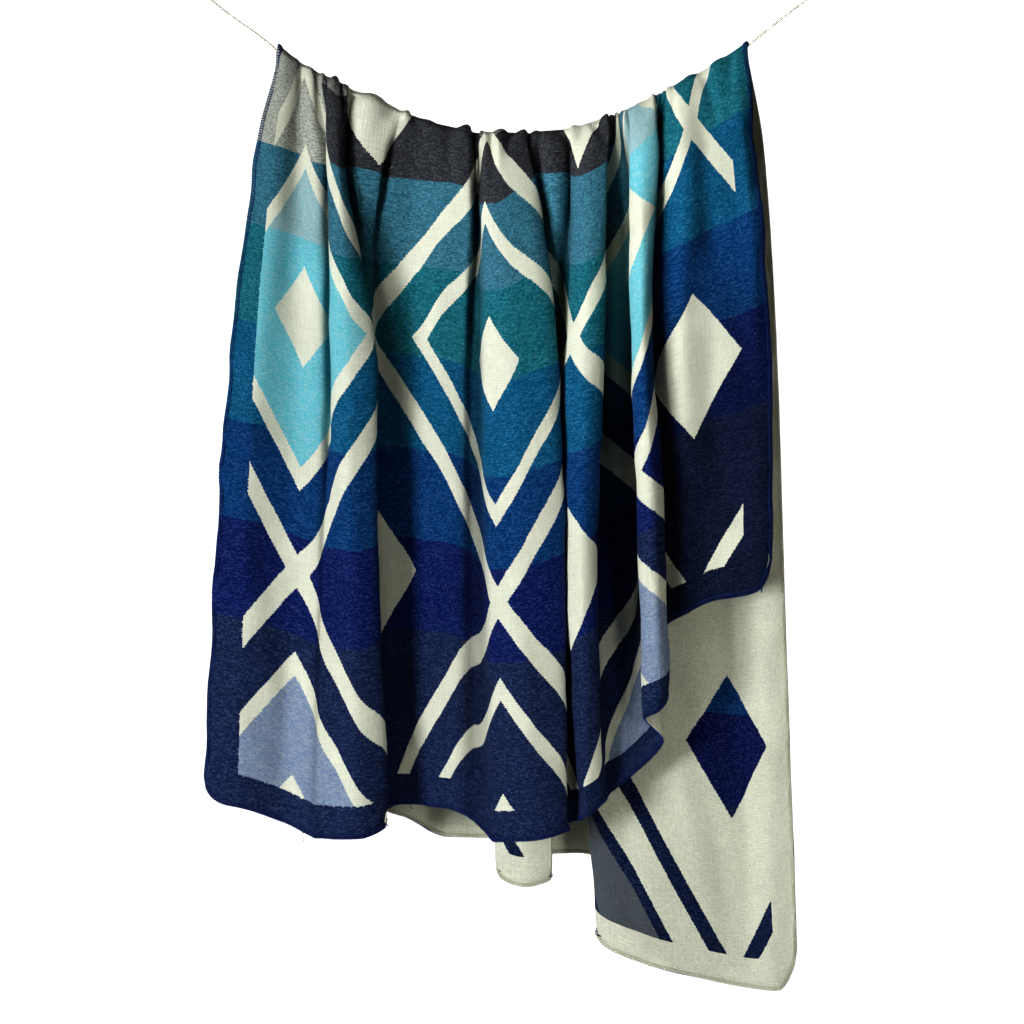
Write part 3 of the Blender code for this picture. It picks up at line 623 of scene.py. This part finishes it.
def make_cloth(grid, u, v, materials):
    """The cloth as a closed sheet: its middle surface moved half the thickness to each side
    along the normal, with a rim between the two. The coloured face is the outer side."""
    normal = surface_normal(grid)
    outer = grid + normal * CLOTH_THICKNESS / 2
    inner = grid - normal * CLOTH_THICKNESS / 2
    points = np.concatenate([outer.reshape(-1, 3), inner.reshape(-1, 3)])
    place = np.tile(np.stack([u.ravel(), v.ravel()], axis=1), (2, 1))

    index = np.arange(u.size).reshape(u.shape)
    quads = np.stack([index[:-1, :-1], index[:-1, 1:], index[1:, 1:], index[1:, :-1]], axis=2)
    quads = quads.reshape(-1, 4)
    rim = rim_of(index)
    following = np.roll(rim, -1)
    side = np.stack([rim, rim + u.size, following + u.size, following], axis=1)
    faces = np.concatenate([quads, quads[:, ::-1] + u.size, side])
    places = np.repeat([0, 1, 2], [len(quads), len(quads), len(side)])
    shade = np.tile(fold_shade(grid, u, v).ravel(), 2)
    return mesh_piece("woven_blanket", points, faces, materials, places, place, shade)


def tubes(centre, reference, radius, sides, closed=False):
    """Points and quads of many tubes at once, each with as many rings.

    centre and reference are (tubes, rings, 3). At each ring the reference direction, freed of
    its part along the tube, is the direction in which the angle is zero. radius may vary with
    ring and side. Open tubes have a flat cap at each end.
    """
    if closed:
        ahead = np.roll(centre, -1, axis=1) - np.roll(centre, 1, axis=1)
    else:
        ahead = np.gradient(centre, axis=1)
    ahead = ahead / np.linalg.norm(ahead, axis=2, keepdims=True)
    first = reference - (reference * ahead).sum(axis=2, keepdims=True) * ahead
    first = first / np.linalg.norm(first, axis=2, keepdims=True)
    second = np.cross(ahead, first)
    angle = np.linspace(0.0, 2 * math.pi, sides, endpoint=False)
    turned = (
        first[:, :, None] * np.cos(angle)[:, None] + second[:, :, None] * np.sin(angle)[:, None]
    )
    points = centre[:, :, None] + turned * np.broadcast_to(radius, turned.shape[:3])[..., None]

    count, rings = centre.shape[:2]
    index = np.arange(count * rings * sides).reshape(count, rings, sides)
    here, there = (index, np.roll(index, -1, axis=1)) if closed else (index[:, :-1], index[:, 1:])
    quads = np.stack([
        here, np.roll(here, -1, axis=2), np.roll(there, -1, axis=2), there,
    ], axis=3).reshape(-1, 4)
    if not closed:
        caps = np.concatenate([index[:, 0, ::-1], index[:, -1]])
        half = sides // 2
        strips = [
            np.stack([caps[:, k], caps[:, k + 1], caps[:, sides - 2 - k], caps[:, sides - 1 - k]],
                     axis=1)
            for k in range(half - 1)
        ]
        quads = np.concatenate([quads] + strips)
    return points.reshape(-1, 3), quads


def edge_path(grid, spacing):
    """The cloth's edge, walked round once: places, and the directions inwards, outwards of
    the face, and along. They come evenly spaced, by about the given spacing."""
    place = rim_of(grid)
    lift = rim_of(surface_normal(grid))
    closed = lambda values: np.concatenate([values, values[:1]])
    step = np.linalg.norm(np.diff(closed(place), axis=0), axis=1)
    walked = np.concatenate([[0.0], np.cumsum(step)])
    count = int(round(walked[-1] / spacing))
    at = np.arange(count) * walked[-1] / count
    read = lambda values: np.stack(
        [np.interp(at, walked, column) for column in closed(values).T], axis=1)
    place, lift = read(place), read(lift)
    along = np.roll(place, -1, axis=0) - np.roll(place, 1, axis=0)
    along /= np.linalg.norm(along, axis=1, keepdims=True)
    lift -= (lift * along).sum(axis=1, keepdims=True) * along
    lift /= np.linalg.norm(lift, axis=1, keepdims=True)
    return place, np.cross(lift, along), lift, along


def make_overlock(grid, materials):
    """The overlocked edge: a slanting stitch round the edge at each pitch, and a chain of
    thread that sways from stitch to stitch on each side. The first material is the thread on
    the coloured face, the second the one on the reverse."""
    draw = np.random.default_rng(STITCH_SEED)
    place, inwards, lift, along = edge_path(grid, STITCH_PITCH)
    shape = np.array(STITCH_SHAPE) * MM
    uneven = 1.0 + STITCH_UNEVEN * draw.standard_normal((len(place), 1))
    inset, height, shift = shape[:, 0] * uneven, shape[:, 1], shape[:, 2] * uneven
    centre = (
        place[:, None] + inwards[:, None] * inset[..., None]
        + lift[:, None] * height[:, None] + along[:, None] * shift[..., None]
    )
    reference = np.broadcast_to(along[:, None], centre.shape)
    points, faces = tubes(centre, reference, STITCH_RADIUS, STITCH_SIDES)
    rings = len(shape)
    segment = np.tile(np.repeat(np.arange(rings - 1), STITCH_SIDES), len(place))
    cap = np.repeat([0, rings - 1], len(place))
    places = np.concatenate([segment, cap]) > rings // 2
    all_points, all_faces, all_places = [points], [faces], [places.astype(np.int32)]

    place, inwards, lift, along = edge_path(grid, STITCH_PITCH / 2)
    sway = CHAIN_SWAY * (-1.0) ** np.arange(len(place))
    for side in (0, 1):
        centre = place + inwards * (CHAIN_INSETS[side] + sway)[:, None] + lift * CHAIN_LIFTS[side]
        points, faces = tubes(centre[None], lift[None], CHAIN_RADIUS, STITCH_SIDES, closed=True)
        all_faces.append(faces + sum(len(part) for part in all_points))
        all_points.append(points)
        all_places.append(np.full(len(faces), side, np.int32))
    return mesh_piece(
        "overlocked_edge", np.concatenate(all_points), np.concatenate(all_faces), materials,
        np.concatenate(all_places),
    )


def smooth_path(knots, count):
    """Evenly spaced points on the smooth curve through the knots."""
    knots = np.array(knots, float)
    walked = np.concatenate([[0.0], np.cumsum(np.linalg.norm(np.diff(knots, axis=0), axis=1))])
    return smooth(walked, knots, np.linspace(0.0, walked[-1], count))


def make_loose_ends(grid, u, material):
    """Short ends of sewing thread that hang from the front hem, each a thin curved tube."""
    normal = surface_normal(grid)
    centres = []
    for across, path in LOOSE_ENDS:
        column = int(np.argmin(np.abs(u[0] - across * MM)))
        along = grid[0, column + 1] - grid[0, column - 1]
        along /= np.linalg.norm(along)
        drop = np.cross(along, normal[0, column])
        frame_of_hem = np.stack([along, drop, normal[0, column]])
        centres.append(grid[0, column] + smooth_path(path, LOOSE_RINGS) * MM @ frame_of_hem)
    centres = np.stack(centres)
    reference = np.broadcast_to(normal[0, :len(centres), None], centres.shape)
    points, faces = tubes(centres, reference, LOOSE_RADIUS, LOOSE_SIDES)
    return mesh_piece("loose_threads", points, faces, [material])


def strand_radius(walked, radius, sides):
    """Radius of a laid cord at each ring and side: strands show as rounded lobes, which turn
    once round the cord in each lay."""
    angle = np.linspace(0.0, 2 * math.pi, sides, endpoint=False)
    lobe = np.abs(np.cos(LINE_STRANDS / 2 * (angle - 2 * math.pi * walked[:, None] / STRAND_LAY)))
    return radius * (1.0 - STRAND_GROOVE + STRAND_GROOVE * lobe)


def distance_along(path):
    """Distance walked from a path's first point to each of its points."""
    step = np.linalg.norm(np.diff(path, axis=0), axis=1)
    return np.concatenate([[0.0], np.cumsum(step)])


def line_path():
    """Points along the smooth curve through the line's route, a ring's spacing apart."""
    route = np.array([(x, 0.0, z) for x, z in LINE_ROUTE]) * MM
    count = int(distance_along(route)[-1] / LINE_RING_SPACING)
    return smooth_path(route, count)


def make_line(material):
    """The line: a cord of laid strands along its route."""
    path = line_path()
    radius = strand_radius(distance_along(path), LINE_DIAMETER / 2, LINE_SIDES)
    reference = np.broadcast_to([0.0, 1.0, 0.0], path.shape)
    points, faces = tubes(path[None], reference[None], radius[None], LINE_SIDES)
    return mesh_piece("laid_line", points, faces, [material])


def tied_end(end, outward):
    """Points and quads of a tied end: the loop, the turns of the knot and the strand in it.

    Its own frame has its origin at the line's end and +X outwards. The loop's centre line is a
    drop, narrow in the knot and round at its far end. The knot is a helix round the strand.
    """
    side = np.array([-outward[2], 0.0, outward[0]])
    turned = np.stack([outward, [0.0, 1.0, 0.0], side])
    start = end + outward * JOIN_GAP

    turn = np.linspace(0.0, 2 * math.pi, LOOP_RINGS, endpoint=False)
    x = KNOT_LENGTH / 2 + LOOP_LENGTH * (1 - np.cos(turn)) / 2
    opening = LOOP_THROAT_SHARE + (1 - LOOP_THROAT_SHARE) * np.sin(turn / 2)
    z = LOOP_WIDTH / 2 * np.sin(turn) * opening
    loop = start + np.stack([x, 0 * x, z], axis=1) @ turned
    radius = strand_radius(distance_along(loop), LINE_DIAMETER / 2, LINE_SIDES)
    across = np.broadcast_to([0.0, 1.0, 0.0], loop.shape)
    parts = [tubes(loop[None], across[None], radius[None], LINE_SIDES, closed=True)]

    share = np.linspace(0.0, 1.0, KNOT_RINGS)
    turn = 2 * math.pi * KNOT_TURNS * share
    reach = KNOT_DIAMETER / 2 - LINE_DIAMETER / 2
    x = LINE_DIAMETER / 2 + (KNOT_LENGTH - LINE_DIAMETER) * share
    away = np.stack([0 * turn, np.cos(turn), np.sin(turn)], axis=1) @ turned
    helix = start + x[:, None] * outward + reach * away
    radius = strand_radius(distance_along(helix), LINE_DIAMETER / 2, LINE_SIDES)
    parts.append(tubes(helix[None], away[None], radius[None], LINE_SIDES))

    x = np.linspace(0.0, KNOT_LENGTH, KNOT_RINGS)
    strand = start + x[:, None] * outward
    radius = strand_radius(x, LINE_DIAMETER / 2, LINE_SIDES)
    across = np.broadcast_to([0.0, 1.0, 0.0], strand.shape)
    parts.append(tubes(strand[None], across[None], radius[None], LINE_SIDES))

    offset = np.cumsum([0] + [len(points) for points, _ in parts])
    faces = np.concatenate([faces + first for (_, faces), first in zip(parts, offset)])
    return np.concatenate([points for points, _ in parts]), faces


def linear(colour):
    """An eight-bit sRGB colour as linear red, green, blue and alpha."""
    value = np.array(colour, float) / 255
    value = np.where(value <= 0.04045, value / 12.92, ((value + 0.055) / 1.055) ** 2.4)
    return tuple(value.tolist()) + (1.0,)


class Finish:
    """One material and short ways to add nodes to it. Each input is a number or colour, which
    is set on the node's own socket, or the output of another node."""

    def __init__(self, name, roughness, sheen):
        self.material = bpy.data.materials.new(name)
        self.material.use_nodes = True
        tree = self.material.node_tree
        self.nodes, self.links = tree.nodes, tree.links
        self.shader = self.nodes["Principled BSDF"]
        self.shader.inputs["Roughness"].default_value = roughness
        self.shader.inputs["Sheen Weight"].default_value = sheen
        self.shader.inputs["Specular IOR Level"].default_value = SPECULAR

    def put(self, socket, value):
        """Link a node's output to the socket, or set the socket's own value."""
        if isinstance(value, bpy.types.NodeSocket):
            self.links.new(value, socket)
        else:
            socket.default_value = value[:3] if socket.type == "VECTOR" else value

    def add(self, kind, inputs, output=0, **settings):
        """Add a node of a kind with its settings and inputs, and give one of its outputs."""
        node = self.nodes.new("ShaderNode" + kind)
        for name, value in settings.items():
            setattr(node, name, value)
        for place, value in inputs.items():
            self.put(node.inputs[place], value)
        return node.outputs[output]

    def math(self, operation, *values):
        """One step of arithmetic on the values."""
        return self.add("Math", dict(enumerate(values)), operation=operation)

    def mix(self, share, first, second):
        """The first colour where the share is 0, and the second where it is 1."""
        return self.add("Mix", {0: share, 6: first, 7: second}, 2, data_type="RGBA")

    def place(self, x, y, z=0.0):
        """A point from its three coordinates."""
        return self.add("CombineXYZ", {0: x, 1: y, 2: z})

    def noise(self, place, scale, detail=2.0):
        """Smooth noise from 0 to 1 about 0.5, with so many repeats in each unit of place."""
        return self.add("TexNoise", {"Vector": place, "Scale": scale, "Detail": detail})

    def count(self, distance, pitch):
        """How many whole pitches a distance holds."""
        return self.math("FLOOR", self.math("DIVIDE", distance, pitch))

    def chance(self, x, y, z):
        """A number from 0 to 1 that is settled anew for each x, y and z."""
        return self.add("TexWhiteNoise", {"Vector": self.place(x, y, z)}, noise_dimensions="3D")

    def ridge(self, distance):
        """Rounded ridges, one a thread: |sin(pi distance / pitch)|."""
        turn = self.math("MULTIPLY", distance, math.pi / THREAD_PITCH)
        return self.math("ABSOLUTE", self.math("SINE", turn))

    def slubs(self, u, v, fineness_u, fineness_v, layer):
        """Thick and thin places of the yarn: noise that is stretched along the threads."""
        x = self.math("MULTIPLY", u, fineness_u)
        y = self.math("MULTIPLY", v, fineness_v)
        return self.noise(self.place(x, y, layer), 1.0)

    def ease(self, value, start, end):
        """0 up to the start and 1 from the end on, with a smooth step between them."""
        return self.add("MapRange", {"Value": value, "From Min": start, "From Max": end},
                        interpolation_type="SMOOTHSTEP")

    def shade(self, colour, value, amount):
        """The colour made lighter or darker by the amount as the value goes from 0 to 1."""
        factor = self.math("MULTIPLY_ADD", value, amount, 1.0 - amount / 2)
        return self.add("VectorMath", {0: colour, "Scale": factor}, operation="SCALE")

    def darken(self, colour, share, amount):
        """The colour times 1 - share * amount."""
        factor = self.math("MULTIPLY_ADD", share, -amount, 1.0)
        return self.add("VectorMath", {0: colour, "Scale": factor}, operation="SCALE")

    def bands(self, distance, table):
        """The table's colour for a distance from the nearer hem, with sharp changes."""
        half = CLOTH_LENGTH / 2
        ramp = self.add("ValToRGB", {0: self.math("DIVIDE", distance, half)})
        stops = ramp.node.color_ramp
        stops.interpolation = "CONSTANT"
        starts = [0.0] + [row[1] / half for row in table[:-1]]
        stops.elements.remove(stops.elements[1])
        for start, row in zip(starts, table):
            stop = stops.elements[0] if start == 0.0 else stops.elements.new(start)
            stop.color = linear(row[2])
        return ramp

    def finish(self, colour, height=None, depth=0.0):
        """Give the surface its colour and, where there is a height, its relief of that depth."""
        self.put(self.shader.inputs["Base Color"], colour)
        if height is not None:
            bump = self.add("Bump", {"Height": height, "Distance": depth, "Strength": 1.0})
            self.put(self.shader.inputs["Normal"], bump)
        return self.material


def cloth_material(name, face):
    """Double-faced cloth: bands of colour with cream figures on the face, the same figures in
    colour on cream on the reverse, in plain weave of uneven thread.

    A point's thread is its place on the cloth, moved a little by noise and rounded to the
    thread pitch. p and q are its distances from the nearest lozenge's centre line across and
    along. t = p / half width + q / half height is 1 on the trellis, and 1 - |1 - t| counts
    0 to 1 from the centre of every lozenge to the trellis.
    """
    make = Finish(name, CLOTH_ROUGHNESS, CLOTH_SHEEN)
    place = make.add("SeparateXYZ", {0: make.add("UVMap", {}, uv_map="cloth_place")})
    u, v = place, place.node.outputs[1]
    flat = make.place(u, v)

    wander = make.noise(flat, WANDER_FINENESS, 3.0)
    wander_too = make.noise(make.place(v, u, 5.0), WANDER_FINENESS, 3.0)
    warp = make.math("MULTIPLY_ADD", make.math("SUBTRACT", wander, 0.5), THREAD_WANDER * 2, u)
    weft = make.math("MULTIPLY_ADD", make.math("SUBTRACT", wander_too, 0.5), THREAD_WANDER * 2, v)
    warp_count = make.count(warp, THREAD_PITCH)
    weft_count = make.count(weft, THREAD_PITCH)

    across = make.math("SNAP", warp, FIGURE_STEP)
    along = make.math("SNAP", weft, FIGURE_STEP)
    across_end = make.chance(0.0, make.count(weft, FIGURE_STEP), 7.0)
    along_end = make.chance(make.count(warp, FIGURE_STEP), 0.0, 3.0)
    across = make.math("MULTIPLY_ADD", across_end, FIGURE_STEP * EDGE_JAG, across)
    along = make.math("MULTIPLY_ADD", along_end, FIGURE_STEP * EDGE_JAG, along)
    from_hem = make.math("PINGPONG", along, CLOTH_LENGTH / 2)
    from_side = make.math("PINGPONG", across, CLOTH_WIDTH / 2)
    p = make.math("PINGPONG", make.math("SUBTRACT", across, CELL_START), CELL_WIDTH / 2)
    q = make.math("SUBTRACT", CELL_HEIGHT / 2, make.math("PINGPONG", from_hem, CELL_HEIGHT / 2))
    t = make.math("ADD", make.math("DIVIDE", p, CELL_WIDTH / 2),
                  make.math("DIVIDE", q, CELL_HEIGHT / 2))
    off_line = make.math("SUBTRACT", 1.0, t)
    reach = make.math("SUBTRACT", 1.0, make.math("ABSOLUTE", off_line))
    odd_cell = make.math("LESS_THAN", off_line, 0.0)

    inside = make.math("MULTIPLY", make.math("GREATER_THAN", from_hem, PLAIN_BORDER),
                       make.math("GREATER_THAN", from_side, PLAIN_BORDER))
    trellis = make.math("GREATER_THAN", reach, TRELLIS_FROM)
    inner, outer = RING_BETWEEN
    ring = make.math("MULTIPLY", make.math("GREATER_THAN", reach, inner),
                     make.math("LESS_THAN", reach, outer))
    ringed = make.math("MAXIMUM", ring, make.math("LESS_THAN", reach, CORE_TO))
    solid = make.math("LESS_THAN", reach, SOLID_TO)
    filled = make.add("Mix", {0: odd_cell, 2: solid, 3: ringed})
    figure = make.math("MULTIPLY", inside, make.math("MAXIMUM", trellis, filled))
    column = make.math("PINGPONG", make.math("SUBTRACT", across, TONE_COLUMN), CELL_WIDTH)
    toned = make.math("MULTIPLY", odd_cell, make.math("LESS_THAN", column, CELL_WIDTH / 2))
    tone = make.math("MULTIPLY", inside, make.math("MULTIPLY", toned,
                     make.math("LESS_THAN", reach, inner)))

    cream = linear(CREAM if face else REVERSE_CREAM)
    heather = make.noise(flat, HEATHER_FINENESS, 3.0)
    dash = make.chance(make.count(u, DASH_LENGTH), make.count(weft, DASH_HEIGHT), 9.0)
    broken = make.math("SUBTRACT", make.noise(flat, FLECK_FINENESS, 3.0), 0.5)
    fleck = make.math("MULTIPLY_ADD", broken, FLECK_BREAK, dash)
    ground = make.bands(from_hem, FACE_BANDS if face else REVERSE_BANDS)
    if face:
        corner = make.math("MULTIPLY", make.math("LESS_THAN", across, CORNER_TO),
                           make.math("GREATER_THAN", from_hem, CORNER_FROM))
        ground = make.mix(corner, ground, linear(CORNER_GREY))
    pale = make.math("MAXIMUM", make.math("SUBTRACT", fleck, PALE_FLECK_FROM), 0.0)
    ground = make.mix(make.math("MULTIPLY", pale, PALE_FLECKS), ground, cream)
    ground = make.shade(make.shade(ground, fleck, FLECK_SHADE), heather, HEATHER_SHADE)
    # Painted shade: the ground is made darker low on the right panel
    if face:
        right = make.ease(u, RIGHT_FROM, RIGHT_TO)
        low = make.ease(v, RIGHT_ABOVE, RIGHT_BELOW)
        ground = make.darken(ground, make.math("MULTIPLY", right, low), 1.0 - RIGHT_PAINTED_SHADE)
    cream = make.shade(cream, fleck, CREAM_FLECKS[0 if face else 1])
    half_tone = make.bands(from_hem, FACE_TONES if face else REVERSE_TONES)
    other = cream if face else ground
    mixed = make.mix(make.math("MULTIPLY", fleck, TONE_FLECK), half_tone, other)
    if face:
        colour = make.mix(figure, make.mix(tone, ground, mixed), cream)
    else:
        colour = make.mix(figure, make.mix(tone, cream, mixed), ground)

    over = make.math("PINGPONG", make.math("ADD", warp_count, weft_count), 1.0)
    grain = make.math("ADD", make.math("MULTIPLY", make.ridge(weft), WEFT_RIDGE),
                      make.math("MULTIPLY", make.ridge(warp), WARP_RIDGE))
    grain = make.math("MULTIPLY_ADD", over, CROSSING, grain)
    slub_weft = make.slubs(u, v, WEFT_SLUBS, SLUB_FINENESS, 0.0)
    slub_warp = make.slubs(u, v, SLUB_FINENESS, WARP_SLUBS, 4.0)
    slub = make.math("MULTIPLY", make.math("ADD", slub_weft, slub_warp), 0.5)
    cloud = make.noise(flat, CLOUD_FINENESS, 3.0)

    # Painted shade: the face is made darker deep in its folds, by the fold_shade attribute
    if face:
        deep = make.add("Attribute", {}, 2, attribute_name="fold_shade")
        colour = make.darken(colour, deep, FOLD_PAINTED_SHADE)
    colour = make.shade(colour, grain, GRAIN_SHADE)
    colour = make.shade(colour, slub, SLUB_SHADE)
    colour = make.shade(colour, cloud, CLOUD_SHADE)
    fibres = make.math("ADD", slub, make.math("MULTIPLY", heather, HEATHER_HEIGHT))
    height = make.math("ADD", grain, fibres)
    return make.finish(colour, height, GRAIN_DEPTH)


def thread_material(name, colour, roughness, sheen, scale, depth):
    """Plain spun thread: fine fibres and slow changes of shade."""
    make = Finish(name, roughness, sheen)
    place = make.add("TexCoord", {}, 3)
    fibres = make.noise(place, scale, 4.0)
    cloud = make.noise(place, scale / FIBRES_IN_CLOUD, 2.0)
    shaded = make.shade(make.shade(linear(colour), fibres, FIBRE_SHADE), cloud, THREAD_SHADE)
    return make.finish(shaded, fibres, depth)


def make_camera():
    """A long lens, level and square to the line's plane, centred on the photograph's middle."""
    centre = [(PICTURE_PIXELS / 2 - ORIGIN_PIXEL[0]) * PIXEL,
              -(PICTURE_PIXELS / 2 - ORIGIN_PIXEL[1]) * PIXEL]
    data = bpy.data.cameras.new("camera")
    data.sensor_width = SENSOR_MM
    data.lens = SENSOR_MM * CAMERA_DISTANCE / (PICTURE_PIXELS * PIXEL)
    camera = bpy.data.objects.new("camera", data)
    camera.location = (centre[0], -CAMERA_DISTANCE, centre[1])
    camera.rotation_euler = (math.pi / 2, 0.0, 0.0)
    bpy.context.collection.objects.link(camera)
    bpy.context.scene.camera = camera


def make_world():
    """White where the camera looks past the blanket, and a weaker white light all round."""
    world = bpy.data.worlds.new("studio")
    world.use_nodes = True
    nodes, links = world.node_tree.nodes, world.node_tree.links
    seen = nodes["Background"]
    seen.inputs["Color"].default_value = (1.0, 1.0, 1.0, 1.0)
    seen.inputs["Strength"].default_value = 1.0
    around = nodes.new("ShaderNodeBackground")
    around.inputs["Color"].default_value = (1.0, 1.0, 1.0, 1.0)
    around.inputs["Strength"].default_value = WORLD_AMBIENT
    choose = nodes.new("ShaderNodeMixShader")
    rays = nodes.new("ShaderNodeLightPath")
    links.new(rays.outputs["Is Camera Ray"], choose.inputs[0])
    links.new(around.outputs[0], choose.inputs[1])
    links.new(seen.outputs[0], choose.inputs[2])
    links.new(choose.outputs[0], nodes["World Output"].inputs["Surface"])
    bpy.context.scene.world = world
    bpy.context.scene.view_settings.view_transform = "Standard"
    bpy.context.scene.view_settings.look = "High Contrast"


def make_lights():
    """The area lamps of the table, each turned to its target."""
    for name, place, target, size, beam, power, colour in AREA_LIGHTS:
        data = bpy.data.lights.new(name, "AREA")
        data.shape = "RECTANGLE"
        data.size, data.size_y = size
        data.spread = math.radians(beam)
        data.energy = power
        data.color = colour
        light = bpy.data.objects.new(name, data)
        light.location = place
        towards = mathutils.Vector(target) - light.location
        light.rotation_euler = towards.to_track_quat("-Z", "Y").to_euler()
        bpy.context.collection.objects.link(light)


def make_floor():
    """A plain pale floor below the blanket, out of the photograph's view. It glows a little
    where the camera sees it, and lights nothing."""
    half = FLOOR_SIZE / 2
    corners = np.array([(-half, -half), (half, -half), (half, half), (-half, half)])
    middle_x = (PICTURE_PIXELS / 2 - ORIGIN_PIXEL[0]) * PIXEL
    points = np.column_stack([corners[:, 0] + middle_x, corners[:, 1], np.full(4, FLOOR_HEIGHT)])
    make = Finish("pale floor", FLOOR_ROUGHNESS, 0.0)
    cloud = make.noise(make.add("TexCoord", {}, 3), FLOOR_CLOUDS)
    glow = make.math("MULTIPLY", make.add("LightPath", {}), FLOOR_GLOW)
    make.put(make.shader.inputs["Emission Strength"], glow)
    material = make.finish(make.shade(linear(FLOOR_GREY), cloud, FLOOR_SHADE))
    mesh_piece("pale_floor", points, np.array([[0, 1, 2, 3]]), [material])


def dress():
    """Make every piece, hide the imported parts they replace, and attach each one to the root."""
    ivory, rim, face_thread, reverse_thread = [thread_material(*row) for row in THREADS]
    line = make_line(ivory)
    path = line_path()
    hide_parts("line")
    ends = []
    for name, node, end, before in (
        ("tied_loop_left", "line_end_left", path[0], path[1]),
        ("tied_loop_right", "line_end_right", path[-1], path[-2]),
    ):
        outward = (end - before) / np.linalg.norm(end - before)
        points, faces = tied_end(end, outward)
        tied = mesh_piece(name, points, faces, [ivory])
        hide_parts(node)
        ends.append(tied)
    for piece in [line] + ends:
        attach(piece, "root")

    face = cloth_material("coloured face", True)
    reverse = cloth_material("cream reverse", False)
    grid, u, v = cloth_grid()
    blanket = make_cloth(grid, u, v, [face, reverse, rim])
    overlock = make_overlock(grid, [face_thread, reverse_thread])
    loose = make_loose_ends(grid, u, face_thread)
    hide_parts("blanket")
    for piece in (blanket, overlock, loose):
        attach(piece, "root")


make_camera()
make_world()
make_lights()
dress()
make_floor()
